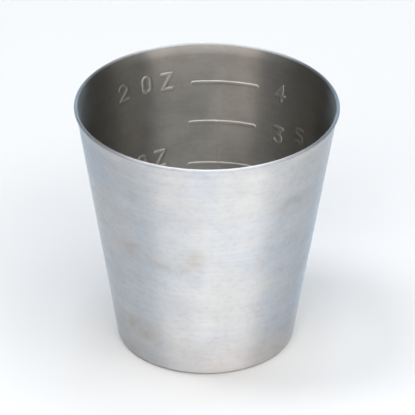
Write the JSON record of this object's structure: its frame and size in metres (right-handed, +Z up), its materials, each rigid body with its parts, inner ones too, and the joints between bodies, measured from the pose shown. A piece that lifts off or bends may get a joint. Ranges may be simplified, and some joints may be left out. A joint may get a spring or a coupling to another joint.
{
  "type": "bar jigger",
  "caption": "Tapered, handleless stainless steel measuring cup with a flared rim and raised measuring lines and figures on one side of its inner wall.",
  "frame": {"origin": "centre of the flat ring that the cup stands on, in its resting plane", "axes": "+Z up along the cup's axis towards the rim; +Y towards the side of the wall that carries the measuring marks; +X to the right of the marks as they are read from inside"},
  "size_m": [0.0528, 0.0528, 0.0523],
  "materials": {
    "satin_steel": "fine satin brushed round the cup, lightly stained and scuffed from use",
    "pressed_marks": "satin, with the tops of the ridges rubbed slightly brighter"
  },
  "bodies": {
    "root": {"cup_shell": "satin_steel", "graduation_lines": "pressed_marks", "ounce_numerals": "pressed_marks", "spoon_numerals": "pressed_marks"}
  },
  "joints": []
}
